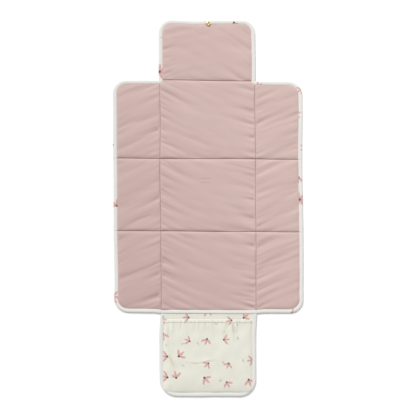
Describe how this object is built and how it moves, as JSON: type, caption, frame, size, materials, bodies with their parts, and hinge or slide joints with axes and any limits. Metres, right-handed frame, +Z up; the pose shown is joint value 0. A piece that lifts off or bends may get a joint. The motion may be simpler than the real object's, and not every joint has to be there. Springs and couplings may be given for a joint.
{
  "type": "changing mat",
  "caption": "Fold-up baby changing mat: quilted T-shaped pad with side wings, a snap-closing flap and a gathered nappy pocket, bound all round.",
  "frame": {"origin": "under the middle of the open mat, on the surface it lies on", "axes": "+Y towards the closing flap, the pocket at -Y; +X to the right seen with the flap away; +Z up out of the padded face"},
  "size_m": [0.5, 0.996, 0.0089],
  "materials": {
    "pink_cotton": "matte dusty pink woven cotton, quilted",
    "floral_cotton": "matte cream woven cotton with a scattered blossom print",
    "binding": "folded cream cotton tape with the same print, stitched",
    "wadding": "soft white fibre",
    "webbing": "woven white tape",
    "brass": "polished pale gold"
  },
  "bodies": {
    "row1": {"row1_face": "pink_cotton", "row1_wadding": "wadding", "row1_back": "floral_cotton"},
    "row1_left": {"row1_left_face": "pink_cotton", "row1_left_wadding": "wadding", "row1_left_back": "floral_cotton", "row1_left_binding": "binding"},
    "row1_right": {"row1_right_face": "pink_cotton", "row1_right_wadding": "wadding", "row1_right_back": "floral_cotton", "row1_right_binding": "binding"},
    "row2": {"row2_face": "pink_cotton", "row2_wadding": "wadding", "row2_back": "floral_cotton", "stud_patch": "webbing", "snap_stud": "brass", "stud_rivet": "brass"},
    "row2_left": {"row2_left_face": "pink_cotton", "row2_left_wadding": "wadding", "row2_left_back": "floral_cotton", "row2_left_binding": "binding"},
    "row2_right": {"row2_right_face": "pink_cotton", "row2_right_wadding": "wadding", "row2_right_back": "floral_cotton", "row2_right_binding": "binding"},
    "row3": {"row3_face": "pink_cotton", "row3_wadding": "wadding", "row3_back": "floral_cotton", "row3_binding": "binding"},
    "row3_left": {"row3_left_face": "pink_cotton", "row3_left_wadding": "wadding", "row3_left_back": "floral_cotton", "row3_left_binding": "binding"},
    "row3_right": {"row3_right_face": "pink_cotton", "row3_right_wadding": "wadding", "row3_right_back": "floral_cotton", "row3_right_binding": "binding"},
    "flap": {"flap_face": "pink_cotton", "flap_wadding": "wadding", "flap_back": "floral_cotton", "flap_binding": "binding", "snap_cap": "brass", "snap_socket": "brass"},
    "pocket": {"pocket_back": "floral_cotton", "pocket_front": "floral_cotton", "pocket_casing": "floral_cotton", "pocket_elastic": "webbing", "pocket_binding": "binding"}
  },
  "joints": [
    {"name": "row2_fold", "type": "hinge", "parent": "row1", "child": "row2", "pos_m": [0, 0.131, 0.024], "axis": [-1, 0, 0], "range_deg": [0, 180]},
    {"name": "row3_fold", "type": "hinge", "parent": "row2", "child": "row3", "pos_m": [0, -0.061, 0.0175], "axis": [-1, 0, 0], "range_deg": [0, 180]},
    {"name": "pocket_fold", "type": "hinge", "parent": "row3", "child": "pocket", "pos_m": [0, -0.28, 0.011], "axis": [-1, 0, 0], "range_deg": [0, 180]},
    {"name": "flap_fold", "type": "hinge", "parent": "row1", "child": "flap", "pos_m": [0, 0.338, 0.02725], "axis": [1, 0, 0], "range_deg": [0, 180]},
    {"name": "row2_left_fold", "type": "hinge", "parent": "row2", "child": "row2_left", "pos_m": [-0.126, 0.035, 0.00625], "axis": [0, 1, 0], "range_deg": [0, 180]},
    {"name": "row2_right_fold", "type": "hinge", "parent": "row2", "child": "row2_right", "pos_m": [0.126, 0.035, 0.00625], "axis": [0, -1, 0], "range_deg": [0, 180]},
    {"name": "row1_left_fold", "type": "hinge", "parent": "row1", "child": "row1_left", "pos_m": [-0.126, 0.2345, 0.00625], "axis": [0, 1, 0], "range_deg": [0, 180]},
    {"name": "row1_right_fold", "type": "hinge", "parent": "row1", "child": "row1_right", "pos_m": [0.126, 0.2345, 0.00625], "axis": [0, -1, 0], "range_deg": [0, 180]},
    {"name": "row3_left_fold", "type": "hinge", "parent": "row3", "child": "row3_left", "pos_m": [-0.126, -0.1705, 0.00625], "axis": [0, 1, 0], "range_deg": [0, 180]},
    {"name": "row3_right_fold", "type": "hinge", "parent": "row3", "child": "row3_right", "pos_m": [0.126, -0.1705, 0.00625], "axis": [0, -1, 0], "range_deg": [0, 180]}
  ],
  "couplings": [
    {"joint": "row1_left_fold", "follows": "row2_left_fold", "ratio": 1},
    {"joint": "row3_left_fold", "follows": "row2_left_fold", "ratio": 1},
    {"joint": "row1_right_fold", "follows": "row2_right_fold", "ratio": 1},
    {"joint": "row3_right_fold", "follows": "row2_right_fold", "ratio": 1}
  ]
}
